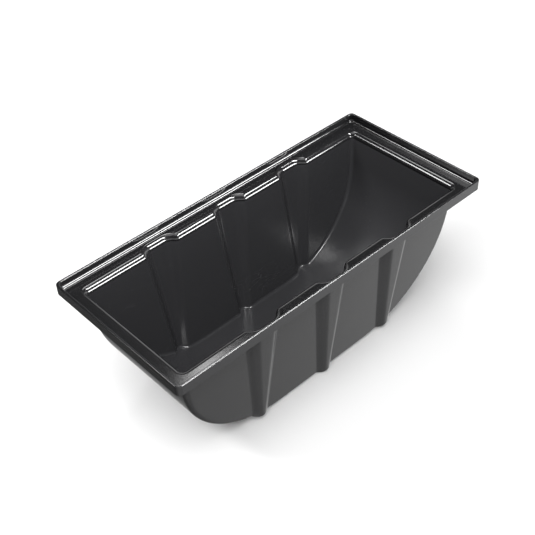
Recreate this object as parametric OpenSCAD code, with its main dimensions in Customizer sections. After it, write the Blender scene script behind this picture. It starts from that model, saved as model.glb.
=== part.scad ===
// Paint roller tray: a deep D-shaped tub moulded in one piece with its rim.
// Millimetres, +Z up. The origin is the middle of the underside of the flat floor.
// +X is the long way of the rim and -Y is the front.

/* [Rim] */
// Length of the rim over its outer faces
rim_l = 560; // [540:1:640]
// Width of the rim over its outer faces
rim_w = 254; // [244:1:300]
// Height of the rim's outer face, from the flange's underside to the top of the lip
skirt_h = 16; // [10:0.5:24]
// Thickness of the upright lip
lip_t = 3.5; // [2.5:0.1:6]
// Radius of the rim's four corners
corner_r = 5; // [1:0.5:10]
// How far the mouth opens out through the thickness of the flange
mouth_flare = 2.5; // [0.5:0.5:4]

/* [Basin] */
// Height of the whole tray, floor underside to top of lip
tub_h = 216; // [200:1:230]
// Outer radius of the curved belly
belly_r = 170; // [160:1:174]
// Length of the flat floor between the two belly curves
floor_l = 164; // [150:1:170]
// Width of the basin over its long walls, just under the flange
basin_w = 203; // [190:1:206]
// Draft of the long walls and of the ends, in degrees
draft = 4.5; // [3:0.5:6]
// Outer radius of the edge where the long walls turn into the belly
edge_r = 8; // [7:0.5:16]
// Wall thickness
wall = 3; // [2:0.1:4]

/* [Ribs] */
// Distance between the ribs, centre to centre
rib_pitch = 125; // [116:1:134]
// Width of a rib where it leaves the wall, under the flange
rib_w = 57; // [44:1:62]
// Width of a rib's outer face, under the flange
rib_face = 38; // [20:1:40]
// How far a rib stands out of the wall, under the flange
rib_d = 10.5; // [6:0.5:14]
// Width of a rib where it leaves the wall, at the floor
rib_foot_w = 26; // [22:1:34]
// Width of a rib's outer face, at the floor
rib_foot_face = 9; // [7:1:12]
// How far a rib stands out of the wall, at the floor
rib_foot_d = 7.5; // [4:0.5:9]

/* [Hidden] */
BACK = 1;
FRONT = -1;
LEFT = -1;
RIGHT = 1;

charcoal = [0.17, 0.17, 0.18];
charcoal_rib = [0.21, 0.21, 0.22];
charcoal_rim = [0.14, 0.14, 0.15];

under_z = tub_h - skirt_h;
flange_z = under_z + wall;
slope = tan(draft);
lean = edge_r / cos(draft);
end_a = 90 - draft;
reach = belly_r - edge_r;
mouth_y = basin_w / 2;
mouth_x = floor_l / 2 + belly_r * sin(end_a) + (under_z - belly_r * (1 - cos(end_a))) * slope;
far = 2 * rim_l;
skin = 0.01;
over = 1;
edge_steps = 8;
end_steps = 13;
corner_land = 8;
$fn = 96;

// Half width of the basin's outer face at a height
function half_w(z) = mouth_y - (under_z - z) * slope;

// Depth of a rib at a height
function rib_depth(z) = rib_foot_d + (rib_d - rib_foot_d) * z / under_z;

// Angle on the belly at which the rounded edge's centre line has moved out to x
function belly_angle(x) = asin((x - floor_l / 2) / reach);

// Stations are cross-sections of the basin, numbered from the middle of the floor to the right end.
// Each one is [x and z of the rounded edge's centre, angle of the belly, x at the flange, rib or not].
function flat_station(x, top_x, on_rib) = [x, edge_r, 0, top_x, on_rib];
function belly_station(a, top_x, on_rib) =
    [floor_l / 2 + reach * sin(a), belly_r - reach * cos(a), a, top_x, on_rib];

outer_foot = rib_pitch + rib_foot_w / 2;
inner_foot = rib_pitch - rib_foot_w / 2;
outer_top = rib_pitch + rib_w / 2;
inner_top = rib_pitch - rib_w / 2;
floor_top = (rib_w / 2 + inner_top) / 2;
corner_top = mouth_x - lean - corner_land;
past_rib_a = belly_angle(outer_foot);

half_stations = concat(
    [
        flat_station(rib_foot_face / 2, rib_face / 2, 1),
        flat_station(rib_foot_w / 2, rib_w / 2, 0),
        flat_station(floor_l / 2, floor_top, 0),
        belly_station(belly_angle(inner_foot), inner_top, 0),
        belly_station(belly_angle(rib_pitch - rib_foot_face / 2), rib_pitch - rib_face / 2, 1),
        belly_station(belly_angle(rib_pitch + rib_foot_face / 2), rib_pitch + rib_face / 2, 1)
    ],
    [
        for (i = [0:end_steps])
            let (t = i / (end_steps + 1))
                belly_station(
                    past_rib_a + (end_a - past_rib_a) * i / end_steps,
                    outer_top + (corner_top - outer_top) * t, 0
                )
    ],
    [[mouth_x - lean, under_z, end_a, corner_top, 0]]
);
last = len(half_stations) - 1;
rib_end = 6;

// The same stations on the left, in reverse order, followed by those on the right
function flipped(s) = [-s[0], s[1], -s[2], -s[3], s[4]];
stations = concat([for (i = [last:-1:0]) flipped(half_stations[i])], half_stations);
count = len(stations);

// Slides a point along the leaning corner to the flange's underside, at the last station of an end
function settle(s, p) =
    s[1] < under_z ? p
    : [p[0] + sign(s[0]) * (under_z - p[2]) * slope, p[1] + (under_z - p[2]) * slope, under_z];

// A point on the rounded edge: turn 0 is on the belly and turn 90 is on the long wall
function edge_point(s, inset, turn) =
    let (r = edge_r - inset)
        let (z = s[1] - r * cos(turn) * cos(s[2]) - r * sin(draft) * sin(turn))
            settle(s, [
                s[0] + r * cos(turn) * sin(s[2]),
                half_w(s[1]) - lean + r * cos(draft) * sin(turn) + s[4] * rib_depth(z),
                z
            ]);

// The point of a long wall that meets the flange
function top_point(s, inset) =
    [s[3], mouth_y - inset / cos(draft) + s[4] * rib_d, under_z];

// From the belly round the edge and up one long wall
function side_column(s, inset) = concat(
    [for (j = [0:edge_steps]) edge_point(s, inset, 90 * j / edge_steps)], [top_point(s, inset)]
);

// Across the belly from front to back
function belly_column(s, inset) =
    let (p = edge_point(s, inset, 0)) [[p[0], -p[1], p[2]], p];

// Closed wall between an outer and an inner grid of points
module shell_patch(outer, inner) {
    n = len(outer);
    m = len(outer[0]);
    size = n * m;
    points = concat([for (row = outer) each row], [for (row = inner) each row]);
    faces = concat(
        [for (i = [0:n - 2], j = [0:m - 2]) [i * m + j, i * m + j + 1, (i + 1) * m + j + 1, (i + 1) * m + j]],
        [for (i = [0:n - 2], j = [0:m - 2])
            [size + i * m + j, size + (i + 1) * m + j, size + (i + 1) * m + j + 1, size + i * m + j + 1]],
        [for (i = [0:n - 2]) [i * m, (i + 1) * m, size + (i + 1) * m, size + i * m]],
        [for (i = [0:n - 2]) [size + i * m + m - 1, size + (i + 1) * m + m - 1, (i + 1) * m + m - 1, i * m + m - 1]],
        [for (j = [0:m - 2]) [j, size + j, size + j + 1, j + 1]],
        [for (j = [0:m - 2])
            [(n - 1) * m + j, (n - 1) * m + j + 1, size + (n - 1) * m + j + 1, size + (n - 1) * m + j]]
    );
    polyhedron(points, faces, convexity = 6);
}

// A stretch of one long wall with its rounded edge, between two stations
module side_patch(side, from, to) {
    mirror([0, side < 0 ? 1 : 0, 0]) shell_patch(
        [for (i = [from:to]) side_column(stations[i], 0)],
        [for (i = [from:to]) side_column(stations[i], wall)]
    );
}

// Number of the station where the rib at place k begins
function rib_start(k) = k == 0 ? last - 1 : k > 0 ? last + 1 + 3 : last - rib_end;

module rib(side, k) {
    color(charcoal_rib) side_patch(side, rib_start(k), rib_start(k) + 3);
}

// The four panels of one long wall; the two on the left are the mirror image of those on the right
module long_wall(side) {
    color(charcoal) for (x_side = [LEFT, RIGHT]) {
        mirror([x_side < 0 ? 1 : 0, 0, 0]) {
            side_patch(side, rib_start(0) + 3, rib_start(1));
            side_patch(side, rib_start(1) + 3, count - 1);
        }
    }
}

// The flat floor, with the feet of the middle ribs
module basin_floor() {
    row = [for (i = [last - 2:last + 3]) edge_point(stations[i], 0, 0)];
    color(charcoal) linear_extrude(wall) polygon(concat(
        [for (p = row) [p[0], p[1]]],
        [for (i = [len(row) - 1:-1:0]) [row[i][0], -row[i][1]]]
    ));
}

module basin_end(side) {
    range = side == LEFT ? [0:last - 2] : [last + 3:count - 1];
    color(charcoal) shell_patch(
        [for (i = range) belly_column(stations[i], 0)],
        [for (i = range) belly_column(stations[i], wall)]
    );
}

// Plate with upright rounded corners
module slab(l, w, z, h, r) {
    translate([-l / 2 + r, -w / 2, z]) cube([l - 2 * r, w, h]);
    translate([-l / 2, -w / 2 + r, z]) cube([l, w - 2 * r, h]);
    for (x_side = [-1, 1], y_side = [-1, 1]) {
        translate([x_side * (l / 2 - r), y_side * (w / 2 - r), z]) cylinder(h, r = r);
    }
}

// The opening through the flange, a little wider at the top than at the walls
module mouth() {
    l = 2 * (mouth_x - wall);
    w = 2 * (mouth_y - wall);
    flare = 2 * mouth_flare;
    hull() {
        slab(l, w, under_z - skin, skin, edge_r - wall, $fn = 32);
        slab(l + flare, w + flare, flange_z, skin, edge_r - wall + mouth_flare, $fn = 32);
    }
}

// Plan view of a rib's hollow, measured outwards from the inside of the wall and grown by flare
module rib_plan(flare) {
    run = (rib_w - rib_face) / 2 / rib_d;
    back = 2 * wall;
    spread = rib_w / 2 + back * run + flare;
    face = rib_face / 2 + flare * run / 2;
    polygon([[-spread, -back], [-face, rib_d + flare], [face, rib_d + flare], [spread, -back]]);
}

module rib_mouth(k) {
    translate([k * rib_pitch, mouth_y - wall, 0]) hull() {
        translate([0, 0, under_z - skin]) linear_extrude(skin) rib_plan(0);
        translate([0, 0, flange_z]) linear_extrude(skin) rib_plan(mouth_flare);
    }
}

module rim_ring() {
    difference() {
        slab(rim_l, rim_w, under_z, skirt_h, corner_r);
        slab(rim_l - 2 * lip_t, rim_w - 2 * lip_t, flange_z, skirt_h, corner_r / 2);
        mouth();
    }
}

// One side of the rim, cut by mitres through its corners
module rim_long(side) {
    half_l = rim_l / 2;
    half_rim_w = rim_w / 2;
    color(charcoal_rim) mirror([0, side < 0 ? 1 : 0, 0]) difference() {
        intersection() {
            rim_ring();
            linear_extrude(far) polygon([
                [half_rim_w - half_l, 0], [-half_l - over, half_rim_w + over],
                [half_l + over, half_rim_w + over], [half_l - half_rim_w, 0]
            ]);
        }
        for (k = [-1:1]) {
            rib_mouth(k);
        }
    }
}

module rim_short(side) {
    half_l = rim_l / 2;
    half_rim_w = rim_w / 2;
    color(charcoal_rim) mirror([side < 0 ? 1 : 0, 0, 0]) intersection() {
        rim_ring();
        linear_extrude(far) polygon([
            [half_l - half_rim_w, 0], [half_l + over, half_rim_w + over],
            [half_l + over, -half_rim_w - over]
        ]);
    }
}

basin_floor();  // floor
basin_end(LEFT);  // left_end
basin_end(RIGHT);  // right_end
long_wall(FRONT);  // front_wall
long_wall(BACK);  // back_wall
rib(FRONT, -1);  // front_rib_left
rib(FRONT, 0);  // front_rib_middle
rib(FRONT, 1);  // front_rib_right
rib(BACK, -1);  // back_rib_left
rib(BACK, 0);  // back_rib_middle
rib(BACK, 1);  // back_rib_right
rim_long(FRONT);  // rim_front
rim_long(BACK);  // rim_back
rim_short(LEFT);  // rim_left
rim_short(RIGHT);  // rim_right
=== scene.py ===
import math

import bpy
import numpy as np
from mathutils import Matrix, Vector


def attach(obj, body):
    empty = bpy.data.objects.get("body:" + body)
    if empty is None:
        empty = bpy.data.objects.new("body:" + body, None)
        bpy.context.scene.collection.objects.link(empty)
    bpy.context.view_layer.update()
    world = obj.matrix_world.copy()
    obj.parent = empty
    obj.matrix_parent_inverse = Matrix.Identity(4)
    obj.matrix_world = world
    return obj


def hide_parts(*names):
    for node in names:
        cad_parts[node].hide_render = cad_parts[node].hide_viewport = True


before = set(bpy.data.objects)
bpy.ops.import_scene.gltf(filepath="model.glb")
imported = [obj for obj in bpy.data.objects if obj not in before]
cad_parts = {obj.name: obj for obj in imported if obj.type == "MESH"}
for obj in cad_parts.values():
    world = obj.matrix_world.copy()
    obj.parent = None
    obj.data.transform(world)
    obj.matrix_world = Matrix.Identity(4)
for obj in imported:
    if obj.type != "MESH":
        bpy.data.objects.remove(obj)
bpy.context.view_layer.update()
print("frame loaded")

mm = 0.001
fine = 4  # surfaces are worked out this many times finer than their mesh, so that normals are true

# the tub, in millimetres: +x is the long way of the rim, -y is the front, z is up from the floor
tub = {
    "height": 216.0,
    "skirt": 16.0,
    "bellyRadius": 170.0,
    "floorLength": 164.0,
    "basinWidth": 203.0,
    "draft": math.radians(4.5),
    "edgeRadius": 8.0,
    "outerBend": 6.0,   # radius under the flange where it leaves the walls
    "wall": 3.0,
    "cornerLand": 8.0,
    "wallSteps": 14,
    "edgeSteps": 10,
    "bellySteps": 18,
    "panelSteps": (12, 6),
    "endSteps": 40,
    "cornerSteps": 6,
}
ribs = {
    "pitch": 125.0,
    "depth": 10.5,
    "footDepth": 7.5,
    "topSize": (28.5, 19.0),  # half widths where it leaves the wall and of its face, at the rim
    "footSize": (13.0, 4.5),  # the same at the floor
    "topRadii": (7.0, 18.0),  # crease to the wall and corner of the face, at the rim
    "footRadii": (5.0, 11.5),  # the same at the floor
    "straightPast": 25.0,      # past the outer ribs' middles, how far the walls run straight
    "faceSteps": 3,
    "arcSteps": 6,
    "flankSteps": 3,
}
underZ = tub["height"] - tub["skirt"]
flangeZ = underZ + tub["wall"]
slope = math.tan(tub["draft"])
lean = tub["edgeRadius"] / math.cos(tub["draft"])
endAngle = math.pi / 2 - tub["draft"]
reach = tub["bellyRadius"] - tub["edgeRadius"]
halfFloor = tub["floorLength"] / 2
mouthY = tub["basinWidth"] / 2
mouthX = (halfFloor + tub["bellyRadius"] * math.sin(endAngle)
          + (underZ - tub["bellyRadius"] * (1 - math.cos(endAngle))) * slope)
outerBend = tub["outerBend"]
innerBend = outerBend + tub["wall"]   # the mouth's rolled edge turns about the same line
bendZ = underZ - outerBend
sheetTop = bendZ + outerBend * math.sin(tub["draft"])


def run(start, stop, steps):
    # evenly spaced values from start up to but without stop
    return np.linspace(start, stop, steps * fine, endpoint=False)


def ribProfile(size, depth, radii):
    # Half a rib in plan, from the middle of its face outwards, as distances out and depths.
    # Where two lines meet at the angle g, an arc of radius r starts r * tan(g / 2) before it.
    halfWidth, halfFace = size
    crease, corner = radii
    g = math.atan2(depth, halfWidth - halfFace)
    creaseCut, cornerCut = crease * math.tan(g / 2), corner * math.tan(g / 2)
    t = run(0, g, ribs["arcSteps"])
    back = run(g, 0, ribs["arcSteps"])
    out = [
        run(0, halfFace - cornerCut, ribs["faceSteps"]),
        halfFace - cornerCut + corner * np.sin(t),
        run(halfFace + cornerCut * math.cos(g), halfWidth - creaseCut * math.cos(g),
            ribs["flankSteps"]),
        halfWidth + creaseCut - crease * np.sin(back),
        [halfWidth + creaseCut],
    ]
    deep = [
        np.full(ribs["faceSteps"] * fine, depth),
        depth - corner * (1 - np.cos(t)),
        run(depth - cornerCut * math.sin(g), creaseCut * math.sin(g), ribs["flankSteps"]),
        crease * (1 - np.cos(back)),
        [0.0],
    ]
    return np.concatenate(out), np.concatenate(deep)


def bellyAngle(x):
    return math.asin((x - halfFloor) / reach)


def stations():
    # Cross-sections from the middle of the tray to its right end, one row each:
    # x and z of the rounded edge's centre, angle of the belly, x at the rim,
    # share of the rib's depth at the foot, rib's depth at the rim, and progress up the corner.
    footOut, footDeep = ribProfile(ribs["footSize"], ribs["footDepth"], ribs["footRadii"])
    topOut, topDeep = ribProfile(ribs["topSize"], ribs["depth"], ribs["topRadii"])
    footShare = footDeep / ribs["footDepth"]
    pitch = ribs["pitch"]
    rows = []

    def add(x, z, angle, top, share=0.0, deep=0.0, rise=0.0):
        row = np.stack(np.broadcast_arrays(x, z, angle, top, share, deep, rise), 1)
        rows.append(row.astype(float))

    def onBelly(angle):
        return halfFloor + reach * np.sin(angle), tub["bellyRadius"] - reach * np.cos(angle), angle

    add(footOut[:-1], tub["edgeRadius"], 0.0, topOut[:-1], footShare[:-1], topDeep[:-1])
    midTop = pitch / 2
    add(run(footOut[-1], halfFloor, tub["panelSteps"][0]), tub["edgeRadius"], 0.0,
        run(topOut[-1], midTop, tub["panelSteps"][0]))
    add(*onBelly(run(0, bellyAngle(pitch - footOut[-1]), tub["panelSteps"][1])),
        run(midTop, pitch - topOut[-1], tub["panelSteps"][1]))
    x = np.concatenate([pitch - footOut[:0:-1], pitch + footOut[:-1]])
    add(*onBelly(np.arcsin((x - halfFloor) / reach)),
        np.concatenate([pitch - topOut[:0:-1], pitch + topOut[:-1]]),
        np.concatenate([footShare[:0:-1], footShare[:-1]]),
        np.concatenate([topDeep[:0:-1], topDeep[:-1]]))
    cornerTop = mouthX - lean - tub["cornerLand"]
    endTop = run(pitch + topOut[-1], cornerTop, tub["endSteps"] + tub["cornerSteps"])
    cut = tub["endSteps"] * fine
    add(*onBelly(run(bellyAngle(pitch + footOut[-1]), endAngle, tub["endSteps"])), endTop[:cut])
    lastX, lastZ, _ = onBelly(endAngle)
    rise = np.append(run(0, 1, tub["cornerSteps"]), 1.0)
    add(lastX + rise * (sheetTop - lastZ) * slope, lastZ + rise * (sheetTop - lastZ), endAngle,
        np.append(endTop[cut:], cornerTop), rise=rise)
    half = np.concatenate(rows)
    return np.concatenate([half[:0:-1] * [-1, 1, -1, -1, 1, 1, 1], half])


def tubSheet():
    # The tub's outer face. Each station's column starts at the front rim, runs straight down the
    # leaning wall, round the edge's arc, across the belly and up the back in the same way.
    s = stations()[:, :, None]
    x0, z0, angle, topX, share, topDeep, rise = (s[:, k] for k in range(7))
    r, draft = tub["edgeRadius"], tub["draft"]

    def halfWidth(z):
        return mouthY - (underZ - z) * slope

    def edge(turn):
        drop = r * np.cos(turn) * np.cos(angle) + r * math.sin(draft) * np.sin(turn)
        slide = rise * drop * slope
        z = z0 - drop
        y = (halfWidth(z0) - lean + r * math.cos(draft) * np.sin(turn) + slide
             + share * (ribs["footDepth"] + (ribs["depth"] - ribs["footDepth"]) * z / underZ))
        return x0 + r * np.cos(turn) * np.sin(angle) + np.sign(angle) * slide, y, z + rise * drop

    lowX, lowY, lowZ = edge(np.array([math.pi / 2]))
    part = (sheetTop - lowZ) / (underZ - lowZ)
    ruled = np.abs(x0) < ribs["pitch"] + ribs["straightPast"]
    highX = np.where(ruled, lowX + (topX - lowX) * part, topX)
    highY = np.where(ruled, lowY + (mouthY + topDeep - lowY) * part, halfWidth(sheetTop))
    up = run(1, 0, tub["wallSteps"])[None]
    wall = (lowX + (highX - lowX) * up, lowY + (highY - lowY) * up, lowZ + (sheetTop - lowZ) * up)
    bend = edge(run(math.pi / 2, 0, tub["edgeSteps"])[None])
    bottomX, bottomY, bottomZ = edge(np.array([0.0]))
    across = np.linspace(-1, 1, tub["bellySteps"] * fine + 1)[None]
    ones = np.ones_like(across)
    front = [np.concatenate([a, b], 1) for a, b in zip(wall, bend)]
    x = np.concatenate([front[0], bottomX * ones, front[0][:, ::-1]], 1)
    y = np.concatenate([-front[1], bottomY * across, front[1][:, ::-1]], 1)
    z = np.concatenate([front[2], bottomZ * ones, front[2][:, ::-1]], 1)
    return np.stack([x, y, z], 2)


def unit(v):
    return v / np.linalg.norm(v, axis=-1, keepdims=True)


outer = tubSheet()
# outward normal: the cross product of the slopes along a column and along the stations
cross = np.cross(np.gradient(outer, axis=1), np.gradient(outer, axis=0))
firstAndLast = slice(None, None, len(cross) - 1)
cross[firstAndLast, 0] = cross[firstAndLast, 1]      # at the sheet's four corners the slopes are
cross[firstAndLast, -1] = cross[firstAndLast, -2]    # parallel, so they take their neighbour's
outerNormal = unit(cross)
inner = outer - tub["wall"] * outerNormal
fineColumns = outer.shape[1] - 1
print("tub sheet worked out", outer.shape)

# the rim: flange and upright lip, in millimetres
rim = {
    "length": 560.0,
    "width": 254.0,
    "lip": 3.5,
    "lipFillet": 5.0,     # between the flange and the lip
    "lipCorner": 7.5,     # upright corner inside the lip
    "outerCorner": 7.5,   # upright corner outside the lip
    "topEdge": 1.3,       # rounding of the lip's two top edges
    "bottomEdge": 0.6,
    "topRub": 0.2,        # edge share added along the lip's flat top
    "bottomRub": 0.5,     # edge share of the bottom edge, where a top edge has 1
    "flangeSteps": 3,
    "bendSteps": 10,
    "filletSteps": 8,
    "edgeSteps": 4,
}


def loopOf(grid):
    # the grid's border, once round: front from left to right, right end, back, left end
    return np.concatenate([grid[:-1, 0], grid[-1, :-1], grid[:0:-1, -1], grid[0, :0:-1]])


def rectangleLoop():
    # For every point of the border: how far along the rim's sides it is, from -1 to 1 both ways,
    # and the outward direction in plan. Corner points keep 1 and turn theirs by the arc's angle.
    edge = slice(tub["wallSteps"] * fine, (tub["wallSteps"] + tub["edgeSteps"]) * fine + 1)
    cornerX = outer[-1, edge.start, 0]
    endY = outer[-1, edge.stop - 1, 1]
    shareX = np.clip(outer[..., 0] / cornerX, -1, 1)
    shareY = np.clip(outer[..., 1] / abs(endY), -1, 1)
    nx, ny = np.zeros_like(shareX), np.zeros_like(shareX)
    shareY[:, 0], shareY[:, -1] = -1, 1
    ny[:, 0], ny[:, -1] = -1, 1
    turn = np.zeros(fineColumns + 1)
    turn[edge] = np.linspace(0, math.pi / 2, edge.stop - edge.start)
    turn[edge.stop:] = math.pi / 2
    turn = np.minimum(turn, turn[::-1])
    frontHalf = np.where(np.arange(fineColumns + 1) <= fineColumns / 2, -1.0, 1.0)
    for end, sign in ((0, -1.0), (-1, 1.0)):
        onArc = turn < math.pi / 2
        shareX[end] = np.where(onArc, shareX[end], sign)
        shareY[end] = np.where(onArc, frontHalf, shareY[end])
        shareX[end, edge] = sign
        nx[end] = sign * np.sin(turn)
        ny[end] = frontHalf * np.cos(turn)
    return loopOf(np.stack([shareX, shareY, nx, ny], 2))


border = rectangleLoop()
outward = np.stack([border[:, 2], border[:, 3], np.zeros(len(border))], 1)
sheetOut = unit(loopOf(outerNormal) * [1, 1, 0])
pivot = loopOf(outer) * [1, 1, 0] + outerBend * math.cos(tub["draft"]) * sheetOut + [0, 0, bendZ]
upward = np.array([0.0, 0.0, 1.0])


def rectangle(inset, corner, z):
    # points of a rectangle with round corners that lies inset from the rim's outer face
    x = border[:, 0] * (rim["length"] / 2 - inset - corner) + border[:, 2] * corner
    y = border[:, 1] * (rim["width"] / 2 - inset - corner) + border[:, 3] * corner
    return np.stack([x, y, np.full(len(x), z)], 1)


rings, ringNormals, ringEdge = [], [], []


def addRing(points, normal, edge=0.0):
    rings.append(points)
    ringNormals.append(unit(np.broadcast_to(normal, points.shape)))
    ringEdge.append(edge)


def addRimRings():
    # The section goes from the mouth's inner wall over its rolled edge, along the flange, up the
    # lip's fillet, over the lip, down the outer face, back under the flange and down to the wall.
    # Each bend is an arc: centre plus radius times cosine outwards and sine upwards.
    lip, fillet, top, low = rim["lip"], rim["lipFillet"], rim["topEdge"], rim["bottomEdge"]
    height, quarter = tub["height"], math.pi / 2
    addRing(loopOf(inner), -loopOf(outerNormal))
    for t in np.linspace(tub["draft"], quarter, rim["bendSteps"] + 1)[1:]:
        way = -math.cos(t) * sheetOut + math.sin(t) * upward
        addRing(pivot + innerBend * way, way, math.sin(2 * t))
    start = rectangle(lip + fillet, rim["lipCorner"] - fillet, flangeZ)
    for k in range(1, rim["flangeSteps"] + 1):
        share = k / rim["flangeSteps"]
        addRing(rings[rim["bendSteps"]] * (1 - share) + start * share, upward)
    for t in np.linspace(0, quarter, rim["filletSteps"] + 1)[1:]:
        gap = fillet * (1 - math.sin(t))
        addRing(rectangle(lip + gap, rim["lipCorner"] - gap, flangeZ + fillet * (1 - math.cos(t))),
                -math.sin(t) * outward + math.cos(t) * upward)
    for t in np.linspace(0, quarter, rim["edgeSteps"] + 1):
        gap = top * (1 - math.cos(t))
        addRing(rectangle(lip - gap, rim["lipCorner"] + gap, height - top * (1 - math.sin(t))),
                -math.cos(t) * outward + math.sin(t) * upward, math.sin(2 * t) + rim["topRub"])
    for t in np.linspace(quarter, 0, rim["edgeSteps"] + 1):
        gap = top * (1 - math.cos(t))
        addRing(rectangle(gap, rim["outerCorner"] - gap, height - top * (1 - math.sin(t))),
                math.cos(t) * outward + math.sin(t) * upward, math.sin(2 * t) + rim["topRub"])
    for t in np.linspace(0, quarter, rim["edgeSteps"] + 1):
        gap = low * (1 - math.cos(t))
        addRing(rectangle(gap, rim["outerCorner"] - gap, underZ + low * (1 - math.sin(t))),
                math.cos(t) * outward - math.sin(t) * upward, rim["bottomRub"] * math.sin(2 * t))
    under, last = pivot + outerBend * upward, rings[-1]
    for k in range(1, rim["flangeSteps"] + 1):
        share = k / rim["flangeSteps"]
        addRing(last * (1 - share) + under * share, -upward)
    for t in np.linspace(quarter, tub["draft"], rim["bendSteps"] + 1)[1:-1]:
        way = -math.cos(t) * sheetOut + math.sin(t) * upward
        addRing(pivot + outerBend * way, -way)
    addRing(loopOf(outer), loopOf(outerNormal))


addRimRings()
band = np.stack(rings)[:, ::fine]
bandNormal = np.stack(ringNormals)[:, ::fine]
bandEdge = np.array(ringEdge)
outer, inner, outerNormal = (grid[::fine, ::fine] for grid in (outer, inner, outerNormal))
rows, columns = outer.shape[0] - 1, outer.shape[1] - 1
print("rim worked out", band.shape)


def quads(a, flip=False):
    # faces of a grid of point numbers, one for each square of four neighbours
    q = np.stack([a[:-1, :-1], a[1:, :-1], a[1:, 1:], a[:-1, 1:]], 2).reshape(-1, 4)
    return q[:, ::-1] if flip else q


def closedMesh(name, points, normals, shares, smooth, caps, polygons=()):
    # Smooth faces take the normals of the whole moulding, so the joints between pieces don't show.
    # Caps are the flat faces inside those joints.
    faces = np.concatenate(smooth + caps).tolist() + list(polygons)
    mesh = bpy.data.meshes.new(name)
    mesh.from_pydata((points * mm).tolist(), [], faces, shade_flat=False)
    smoothLoops = np.concatenate(smooth).ravel()
    edgeOf = np.zeros(len(mesh.loops), int)
    mesh.loops.foreach_get("edge_index", edgeOf)
    sharp = np.zeros(len(mesh.edges), bool)
    sharp[edgeOf[len(smoothLoops):]] = True   # so that a cap can't shade the faces beside it
    mesh.edges.foreach_set("use_edge_sharp", sharp)
    corner = np.zeros((len(mesh.loops), 3))
    corner[:len(smoothLoops)] = normals[smoothLoops]
    flat = np.zeros(len(mesh.polygons) * 3)
    mesh.polygons.foreach_get("normal", flat)
    sizes = np.zeros(len(mesh.polygons), int)
    mesh.polygons.foreach_get("loop_total", sizes)
    perLoop = np.repeat(flat.reshape(-1, 3), sizes, axis=0)
    corner[len(smoothLoops):] = perLoop[len(smoothLoops):]
    mesh.normals_split_custom_set(corner.tolist())
    for label, share in shares.items():
        values = mesh.attributes.new(label, "FLOAT", "POINT").data
        values.foreach_set("value", share.astype(np.float32))
    mesh.validate()
    mesh.update()
    piece = bpy.data.objects.new(name, mesh)
    bpy.context.scene.collection.objects.link(piece)
    return piece


def sheetPiece(name, patches):
    # Each patch is a stretch of stations and columns with an outer face, an inner face and four
    # edges.
    points, normals, inside, smooth, caps, base = [], [], [], [], [], 0
    for (i0, i1), (j0, j1) in patches:
        cut = np.s_[i0:i1 + 1, j0:j1 + 1]
        shape = outer[cut].shape[:2]
        size = shape[0] * shape[1]
        a = base + np.arange(size).reshape(shape)
        b = a + size
        points += [outer[cut].reshape(-1, 3), inner[cut].reshape(-1, 3)]
        normals += [outerNormal[cut].reshape(-1, 3), -outerNormal[cut].reshape(-1, 3)]
        inside += [np.zeros(size), np.ones(size)]
        smooth += [quads(a, True), quads(b)]
        caps += [
            quads(np.stack([a[0], b[0]]), True), quads(np.stack([a[-1], b[-1]])),
            quads(np.stack([a[:, 0], b[:, 0]])), quads(np.stack([a[:, -1], b[:, -1]]), True),
        ]
        base += 2 * size
    shares = {"insideShare": np.concatenate(inside)}
    return closedMesh(name, np.concatenate(points), np.concatenate(normals), shares, smooth, caps)


def rimPiece(name, first, last):
    # A stretch of the rim's rings between two places on the border, closed at both mitres and where
    # it meets the walls.
    count = band.shape[1]
    pick = np.arange(first, last + 1) % count
    points, normals = band[:, pick], bandNormal[:, pick]
    a = np.arange(points.shape[0] * points.shape[1]).reshape(points.shape[:2])
    shares = {"edgeShare": np.repeat(bandEdge, len(pick))}
    caps = [quads(np.stack([a[-1], a[0]]))]
    ends = [a[::-1, 0].tolist(), a[:, -1].tolist()]
    return closedMesh(name, points.reshape(-1, 3), normals.reshape(-1, 3), shares, [quads(a)],
                      caps, ends)


# where the pieces are cut: stations of the ribs and of the floor, and columns of the belly
halfRib = 2 * ribs["arcSteps"] + ribs["faceSteps"] + ribs["flankSteps"]
middle = rows // 2
floorCut = halfRib + tub["panelSteps"][0]
ribCut = floorCut + tub["panelSteps"][1]
ribSpans = [(middle - ribCut - 2 * halfRib, middle - ribCut), (middle - halfRib, middle + halfRib),
            (middle + ribCut, middle + ribCut + 2 * halfRib)]
wallSpans = [(0, ribSpans[0][0]), (ribSpans[0][1], ribSpans[1][0]),
             (ribSpans[1][1], ribSpans[2][0]), (ribSpans[2][1], rows)]
side = tub["wallSteps"] + tub["edgeSteps"]
frontSide, backSide, belly = (0, side), (columns - side, columns), (side, columns - side)
cornerMid = tub["wallSteps"] + tub["edgeSteps"] // 2
rightFront = rows + cornerMid
rightBack = rows + columns - cornerMid
leftBack = 2 * rows + columns + cornerMid
leftFront = 2 * rows + 2 * columns - cornerMid
loopCount = band.shape[1]

# name: CAD node and the stretches of stations and columns
sheetCuts = {
    "floorSheet": ("floor", [((middle - floorCut, middle + floorCut), belly)]),
    "leftEndSheet": ("left_end", [((0, middle - floorCut), belly)]),
    "rightEndSheet": ("right_end", [((middle + floorCut, rows), belly)]),
    "frontWallSheet": ("front_wall", [(span, frontSide) for span in wallSpans]),
    "backWallSheet": ("back_wall", [(span, backSide) for span in wallSpans]),
}
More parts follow.
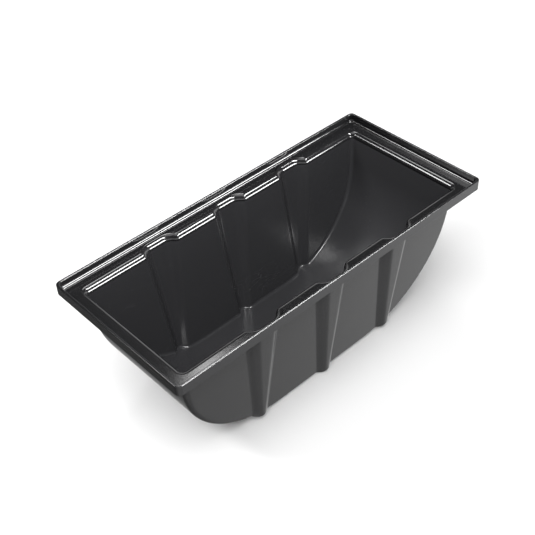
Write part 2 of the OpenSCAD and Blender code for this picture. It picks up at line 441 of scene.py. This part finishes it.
# name: CAD node and the two mitres on the border
rimCuts = {
    "frontRim": ("rim_front", leftFront - loopCount, rightFront),
    "rightRim": ("rim_right", rightFront, rightBack),
    "backRim": ("rim_back", rightBack, leftBack),
    "leftRim": ("rim_left", leftBack, leftFront),
}
pieces = {}
for name, (cadNode, patches) in sheetCuts.items():
    pieces[name] = (sheetPiece(name, patches), cadNode)
for name, (cadNode, first, last) in rimCuts.items():
    pieces[name] = (rimPiece(name, first, last), cadNode)
for place, span in zip(("left", "middle", "right"), ribSpans):
    for face, sideSpan in (("front", frontSide), ("back", backSide)):
        name = face + place.capitalize() + "Rib"
        pieces[name] = (sheetPiece(name, [(span, sideSpan)]), face + "_rib_" + place)
print("pieces cut", len(pieces))


# shared effects, each a node group with named sockets
def newGroup(name, inputs, outputs):
    group = bpy.data.node_groups.new(name, "ShaderNodeTree")
    for label, kind, value in inputs:
        socket = group.interface.new_socket(name=label, in_out="INPUT", socket_type=kind)
        if value is not None:
            socket.default_value = value
    for label, kind in outputs:
        group.interface.new_socket(name=label, in_out="OUTPUT", socket_type=kind)
    return group, group.nodes.new("NodeGroupInput"), group.nodes.new("NodeGroupOutput")


def connect(tree, slot, value):
    # another node's output is linked to the socket, and a plain value is set on it
    if isinstance(value, bpy.types.NodeSocket):
        tree.links.new(value, slot)
    else:
        slot.default_value = value


def node(tree, kind, **settings):
    made = tree.nodes.new(kind)
    for key, value in settings.items():
        if key in made.inputs.keys():
            made.inputs[key].default_value = value
        else:
            setattr(made, key, value)
    return made


def mathNode(tree, operation, a, b=0.0):
    made = node(tree, "ShaderNodeMath", operation=operation)
    connect(tree, made.inputs[0], a)
    connect(tree, made.inputs[1], b)
    return made.outputs[0]


mixSockets = {"FLOAT": (2, 3, 0), "RGBA": (6, 7, 2)}   # numbers of both inputs and of the output


def mixNode(tree, kind, share, a, b):
    # a where the share is 0 and b where it is 1
    made = node(tree, "ShaderNodeMix", data_type=kind)
    first, second, result = mixSockets[kind]
    for number, value in ((0, share), (first, a), (second, b)):
        connect(tree, made.inputs[number], value)
    return made.outputs[result]


def ramp(tree, value, low, high):
    # 0 below low, 1 above high and straight between them
    made = node(tree, "ShaderNodeMapRange", clamp=True)
    made.inputs["From Min"].default_value = low
    made.inputs["From Max"].default_value = high
    tree.links.new(value, made.inputs["Value"])
    return made.outputs["Result"]


def noise(tree, vector, scale, detail, roughness):
    made = node(tree, "ShaderNodeTexNoise", Detail=detail, Roughness=roughness)
    connect(tree, made.inputs["Vector"], vector)
    connect(tree, made.inputs["Scale"], scale)
    return made.outputs["Fac"]


# moulded surface: a fine grain and a slow waviness from the way the plastic shrank
grainLook = {
    "detail": 2.0,
    "roughness": 0.6,
    "waveDetail": 1.0,
    "waveRoughness": 0.4,
    "waveHeight": 6.0,   # beside a grain of height 1
}


def makeGrainGroup():
    # height = grain * its share + wave * its height
    group, given, out = newGroup(
        "mouldedGrain",
        [("Vector", "NodeSocketVector", None), ("Grain Scale", "NodeSocketFloat", 1500.0),
         ("Grain Share", "NodeSocketFloat", 0.5), ("Wave Scale", "NodeSocketFloat", 14.0)],
        [("Height", "NodeSocketFloat"), ("Tone", "NodeSocketFloat")])
    where = given.outputs["Vector"]
    grain = noise(group, where, given.outputs["Grain Scale"], grainLook["detail"],
                  grainLook["roughness"])
    wave = noise(group, where, given.outputs["Wave Scale"], grainLook["waveDetail"],
                 grainLook["waveRoughness"])
    fineGrain = mathNode(group, "MULTIPLY", grain, given.outputs["Grain Share"])
    slowWave = mathNode(group, "MULTIPLY", wave, grainLook["waveHeight"])
    height = mathNode(group, "ADD", fineGrain, slowWave)
    group.links.new(height, out.inputs["Height"])
    group.links.new(wave, out.inputs["Tone"])
    return group


# thin scratches in loose patches
scuffLook = {
    "turn": (0.3, 0.2, 0.7),         # radians
    "stretch": (14.0, 160.0, 60.0),  # the streaks run along the smallest
    "detail": 2.0,
    "roughness": 0.5,
    "thickness": 0.012,              # how far from its middle value the streak noise is kept
    "patchScale": 9.0,
    "patchDetail": 3.0,
    "patchRoughness": 0.6,
    "patchRange": (0.5, 0.72),
}


def makeScuffGroup():
    # a noise stretched along one way, kept only near its middle value, times the patches
    group, given, out = newGroup(
        "handlingScuffs",
        [("Vector", "NodeSocketVector", None), ("Amount", "NodeSocketFloat", 0.5)],
        [("Mask", "NodeSocketFloat")])
    turned = node(group, "ShaderNodeMapping", Rotation=scuffLook["turn"],
                  Scale=scuffLook["stretch"])
    group.links.new(given.outputs["Vector"], turned.inputs["Vector"])
    streak = noise(group, turned.outputs["Vector"], 1.0, scuffLook["detail"],
                   scuffLook["roughness"])
    apart = mathNode(group, "ABSOLUTE", mathNode(group, "SUBTRACT", streak, 0.5))
    thin = mathNode(group, "SUBTRACT", 1.0, ramp(group, apart, 0.0, scuffLook["thickness"]))
    patches = noise(group, given.outputs["Vector"], scuffLook["patchScale"],
                    scuffLook["patchDetail"], scuffLook["patchRoughness"])
    patch = ramp(group, patches, *scuffLook["patchRange"])
    mask = mathNode(group, "MULTIPLY", mathNode(group, "MULTIPLY", thin, patch),
                    given.outputs["Amount"])
    group.links.new(mask, out.inputs["Mask"])
    return group


# rubbed edges
wearLook = {
    "scale": 70.0,
    "detail": 4.0,
    "roughness": 0.65,
    "range": (0.42, 0.68),
}


def makeWearGroup():
    # the piece's own edge share, broken up by noise
    group, given, out = newGroup(
        "edgeWear",
        [("Vector", "NodeSocketVector", None), ("Edge", "NodeSocketFloat", 0.0),
         ("Amount", "NodeSocketFloat", 0.5)],
        [("Mask", "NodeSocketFloat")])
    cloud = noise(group, given.outputs["Vector"], wearLook["scale"], wearLook["detail"],
                  wearLook["roughness"])
    broken = ramp(group, cloud, *wearLook["range"])
    mask = mathNode(group, "MULTIPLY", mathNode(group, "MULTIPLY", given.outputs["Edge"], broken),
                    given.outputs["Amount"])
    group.links.new(mask, out.inputs["Mask"])
    return group


# dust on surfaces that face up
dustLook = {
    "facing": (0.35, 0.95),    # the normal's z where dust starts to lie and where all of it lies
    "cloudScale": 11.0,
    "cloudDetail": 4.0,
    "cloudRoughness": 0.6,
    "cloudRange": (0.4, 0.75),
    "cloudShare": 0.6,
    "speckScale": 420.0,
    "speckDetail": 1.0,
    "speckRoughness": 0.5,
    "speckRange": (0.7, 0.78),
}


def makeDustGroup():
    # soft clouds with a few specks, times how far the surface faces up
    group, given, out = newGroup(
        "settledDust",
        [("Vector", "NodeSocketVector", None), ("Normal", "NodeSocketVector", None),
         ("Amount", "NodeSocketFloat", 0.3)],
        [("Mask", "NodeSocketFloat")])
    split = node(group, "ShaderNodeSeparateXYZ")
    group.links.new(given.outputs["Normal"], split.inputs[0])
    facing = ramp(group, split.outputs["Z"], *dustLook["facing"])
    clouds, specks = (
        ramp(group, noise(group, given.outputs["Vector"], dustLook[kind + "Scale"],
                          dustLook[kind + "Detail"], dustLook[kind + "Roughness"]),
             *dustLook[kind + "Range"])
        for kind in ("cloud", "speck"))
    thinned = mathNode(group, "MULTIPLY", clouds, dustLook["cloudShare"])
    both = mathNode(group, "ADD", thinned, specks)
    mask = mathNode(group, "MULTIPLY", mathNode(group, "MULTIPLY", both, facing),
                    given.outputs["Amount"])
    group.links.new(mask, out.inputs["Mask"])
    return group


groups = {
    "grain": makeGrainGroup(),
    "scuffs": makeScuffGroup(),
    "wear": makeWearGroup(),
    "dust": makeDustGroup(),
}
# how both plastics answer to their marks
plasticLook = {
    "specular": 0.5,
    "scuffPale": 0.35,     # how far a full scuff and a fully rubbed edge go to the pale colour
    "wearPale": 0.5,
    "paleMatt": 0.5,       # roughness added where the pale colour is full
    "toneSpread": 0.06,    # roughness between the wave's low and high
    "bumpDistance": 0.001,
}

# the tub's inner faces take a lighter colour than its outer faces: painted light that brightens the
# shaded interior, on what is one plastic
tubFinish = {
    "colour": (0.012, 0.012, 0.0125, 1),
    "insidePaintedLightColour": (0.022, 0.022, 0.0235, 1),
    "paleColour": (0.12, 0.12, 0.125, 1),
    "roughness": 0.1,
    "insideMatt": 0.14,
    "grainScale": 1500.0,
    "grainShare": 0.5,
    "bump": 0.035,
    "scuffs": 0.2,
    "wear": 0.0,
    "dust": 0.04,
}
# the rim's colours are darker than the tub's: painted shade that offsets the lights which reach
# only the rim, on what is one plastic
rimFinish = {
    "colour": (0.006, 0.006, 0.0064, 1),
    "insidePaintedLightColour": (0.006, 0.006, 0.0064, 1),
    "paleColour": (0.05, 0.05, 0.052, 1),
    "roughness": 0.1,
    "insideMatt": 0.14,
    "grainScale": 1500.0,
    "grainShare": 0.4,
    "bump": 0.03,
    "scuffs": 0.1,
    "wear": 0.2,
    "dust": 0.02,
}


def plasticMaterial(name, finish):
    # Black plastic: scuffs, rubbed edges and dust pale it and roughen it, and grain and waviness
    # bend the light.
    material = bpy.data.materials.new(name)
    material.use_nodes = True
    tree = material.node_tree
    shader = tree.nodes["Principled BSDF"]
    shader.inputs["Specular IOR Level"].default_value = plasticLook["specular"]
    where = node(tree, "ShaderNodeTexCoord").outputs["Object"]
    facing = node(tree, "ShaderNodeNewGeometry").outputs["Normal"]
    edge = node(tree, "ShaderNodeAttribute", attribute_name="edgeShare").outputs["Fac"]
    inside = node(tree, "ShaderNodeAttribute", attribute_name="insideShare").outputs["Fac"]

    def effect(group, values):
        made = tree.nodes.new("ShaderNodeGroup")
        made.node_tree = groups[group]
        tree.links.new(where, made.inputs["Vector"])
        for key, value in values.items():
            connect(tree, made.inputs[key], value)
        return made.outputs

    grain = effect("grain", {"Grain Scale": finish["grainScale"],
                             "Grain Share": finish["grainShare"]})
    scuffs = effect("scuffs", {"Amount": finish["scuffs"]})["Mask"]
    wear = effect("wear", {"Edge": edge, "Amount": finish["wear"]})["Mask"]
    dust = effect("dust", {"Normal": facing, "Amount": finish["dust"]})["Mask"]
    scuffed = mathNode(tree, "MULTIPLY", scuffs, plasticLook["scuffPale"])
    rubbed = mathNode(tree, "MULTIPLY", wear, plasticLook["wearPale"])
    pale = mathNode(tree, "MAXIMUM", scuffed, mathNode(tree, "MAXIMUM", rubbed, dust))
    # painted light: inner faces take the lighter inside colour, so the shaded interior comes out
    # brighter
    ground = mixNode(tree, "RGBA", inside, finish["colour"], finish["insidePaintedLightColour"])
    colour = mixNode(tree, "RGBA", pale, ground, finish["paleColour"])
    tree.links.new(colour, shader.inputs["Base Color"])
    spread = plasticLook["toneSpread"]
    rough = mathNode(tree, "ADD", mathNode(tree, "MULTIPLY", grain["Tone"], spread),
                     finish["roughness"] - spread / 2)
    rough = mathNode(tree, "ADD", rough, mathNode(tree, "MULTIPLY", inside, finish["insideMatt"]))
    rough = mathNode(tree, "ADD", rough, mathNode(tree, "MULTIPLY", pale, plasticLook["paleMatt"]))
    tree.links.new(rough, shader.inputs["Roughness"])
    bump = node(tree, "ShaderNodeBump", Strength=finish["bump"],
                Distance=plasticLook["bumpDistance"])
    tree.links.new(grain["Height"], bump.inputs["Height"])
    tree.links.new(bump.outputs["Normal"], shader.inputs["Normal"])
    return material


# both materials are one black plastic: their colours differ by painted light inside the tub and
# painted shade on the rim
tubMaterial = plasticMaterial("blackTubPlasticInsidePaintedLight", tubFinish)
rimMaterial = plasticMaterial("blackRimPlasticPaintedShade", rimFinish)
for piece, cadNode in pieces.values():
    onRim = cadNode.startswith("rim_")
    piece.data.materials.append(rimMaterial if onRim else tubMaterial)
    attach(piece, "root")
    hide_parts(cadNode)
print("materials made")

# floor and studio, in metres
studio = {
    "floorSize": 12.0,
    "floorColour": (0.7, 0.7, 0.7, 1),
    "floorMatt": 0.9,
    "skyColour": (1.0, 1.0, 1.0, 1),
    "skyHigh": 0.06,       # brightness of the studio above the objects
    "skyLow": 0.08,        # brightness of its walls near the horizon, away from the bright sides
    "skySides": ((110, 2.2), (215, 2.4), (41, 1.2)),   # heading of each bright side, what it adds
    "skyFocus": 6.0,       # the higher, the narrower the bright sides
    "skyFade": (0.26, 0.5),  # heights, as the direction's z, between which low fades into high
    "aimHeight": 0.15,     # the lights point at this height over the floor's middle
    # name: heading from +y towards +x and height in degrees, distance, width, height, brightness
    "lights": {
        "highBox": (135, 60, 3.2, 2.0, 0.5, 60.0),
        "innerBox": (205, 58, 3.2, 0.7, 0.7, 75.0),
        "lowBox": (157, 9, 3.2, 2.0, 1.0, 50.0),
        "backLeftBox": (-50, 46, 3.2, 1.0, 0.75, 26.0),
        "backRightBox": (35, 58.2, 3.2, 0.6, 0.87, 10.0),
        "topBox": (0, 88, 3.2, 1.8, 1.8, 2.5),
        "softFill": (200, 50, 3.2, 2.5, 2.5, 3.6),
        "floorWash": (225, 65, 5.0, 4.0, 4.0, 7.0),
    },
    # lights that are flagged off all but one zone
    "onlyOn": {"highBox": "rim", "lowBox": "rim", "innerBox": "tub", "softFill": "tub",
               "floorWash": "floor"},
    "matt": ("softFill", "floorWash"),   # lights that glossy surfaces don't mirror
    "tilted": {"backRightBox": -20},     # degrees about the light's own axis
}
camera = {
    "place": (-0.6876, -0.7585, 1.0582),
    "heading": 41.234,   # from +y towards +x
    "dip": 41.697,       # below level
    "roll": -2.807,
    "lens": 65.54,       # millimetres, on a sensor this wide
    "sensor": 36,
}


def direction(heading, height):
    # the unit vector that way, from degrees
    h, e = math.radians(heading), math.radians(height)
    return Vector((math.sin(h) * math.cos(e), math.cos(h) * math.cos(e), math.sin(e)))


def makeFloor():
    # a wide, plain, pale sheet
    s = studio["floorSize"] / 2
    mesh = bpy.data.meshes.new("studioFloor")
    mesh.from_pydata([(-s, -s, 0), (s, -s, 0), (s, s, 0), (-s, s, 0)], [], [(0, 1, 2, 3)])
    floor = bpy.data.objects.new("studioFloor", mesh)
    bpy.context.scene.collection.objects.link(floor)
    material = bpy.data.materials.new("paleFloor")
    material.use_nodes = True
    shader = material.node_tree.nodes["Principled BSDF"]
    shader.inputs["Base Color"].default_value = studio["floorColour"]
    shader.inputs["Roughness"].default_value = studio["floorMatt"]
    mesh.materials.append(material)
    floor.visible_glossy = False   # the plastic mirrors the studio's walls instead
    return floor


def makeLights(zones):
    aim = Vector((0, 0, studio["aimHeight"]))
    for name, (heading, height, distance, width, tall, bright) in studio["lights"].items():
        light = bpy.data.lights.new(name, "AREA")
        light.shape = "RECTANGLE"
        light.size, light.size_y = width, tall
        light.energy = bright * math.pi * width * tall   # so that size doesn't change brightness
        lamp = bpy.data.objects.new(name, light)
        way = direction(heading, height)
        lamp.location = aim + way * distance
        tilt = Matrix.Rotation(math.radians(studio["tilted"].get(name, 0)), 3, "Z")
        lamp.rotation_euler = ((-way).to_track_quat("-Z", "Y").to_matrix() @ tilt).to_euler()
        bpy.context.scene.collection.objects.link(lamp)
        lamp.visible_glossy = name not in studio["matt"]
        if name in studio["onlyOn"]:
            lit = bpy.data.collections.new(name + "Targets")
            for piece in zones[studio["onlyOn"][name]]:
                lit.objects.link(piece)
            lamp.light_linking.receiver_collection = lit


def makeWorld():
    # The studio's walls: bright on some sides near the horizon and dim overhead. Each bright side
    # adds its brightness times (half of one plus the cosine to its heading) to the power of the
    # focus.
    world = bpy.data.worlds.new("studioWorld")
    world.use_nodes = True
    tree = world.node_tree
    way = node(tree, "ShaderNodeTexCoord").outputs["Generated"]
    split = node(tree, "ShaderNodeSeparateXYZ")
    tree.links.new(way, split.inputs[0])
    fade = node(tree, "ShaderNodeMapRange", interpolation_type="SMOOTHSTEP")
    for label, value in zip(("From Min", "From Max"), studio["skyFade"]):
        fade.inputs[label].default_value = value
    tree.links.new(split.outputs["Z"], fade.inputs["Value"])
    low = studio["skyLow"]
    for heading, bright in studio["skySides"]:
        turn = node(tree, "ShaderNodeVectorMath", operation="DOT_PRODUCT")
        tree.links.new(way, turn.inputs[0])
        turn.inputs[1].default_value = direction(heading, 0)
        share = mathNode(tree, "MULTIPLY", mathNode(tree, "ADD", turn.outputs["Value"], 1.0), 0.5)
        focused = mathNode(tree, "POWER", share, studio["skyFocus"])
        low = mathNode(tree, "ADD", mathNode(tree, "MULTIPLY", focused, bright), low)
    back = tree.nodes["Background"]
    back.inputs["Color"].default_value = studio["skyColour"]
    brightness = mixNode(tree, "FLOAT", fade.outputs["Result"], low, studio["skyHigh"])
    tree.links.new(brightness, back.inputs["Strength"])
    bpy.context.scene.world = world


def makeCamera():
    lens = bpy.data.cameras.new("studioCamera")
    lens.lens = camera["lens"]
    lens.sensor_width = camera["sensor"]
    shooter = bpy.data.objects.new("studioCamera", lens)
    ahead = direction(camera["heading"], -camera["dip"])
    h, roll = math.radians(camera["heading"]), math.radians(camera["roll"])
    level = Vector((math.cos(h), -math.sin(h), 0))
    right = level * math.cos(roll) + level.cross(ahead) * math.sin(roll)
    up = right.cross(ahead)
    axes = Matrix((right, up, -ahead)).transposed()
    shooter.matrix_world = Matrix.Translation(camera["place"]) @ axes.to_4x4()
    bpy.context.scene.collection.objects.link(shooter)
    bpy.context.scene.camera = shooter
    # so that the pale floor comes out pale
    bpy.context.scene.view_settings.view_transform = "Standard"


zones = {
    "rim": [piece for piece, cadNode in pieces.values() if cadNode.startswith("rim_")],
    "tub": [piece for piece, cadNode in pieces.values() if not cadNode.startswith("rim_")],
    "floor": [makeFloor()],
}
makeLights(zones)
makeWorld()
makeCamera()
print("studio made")
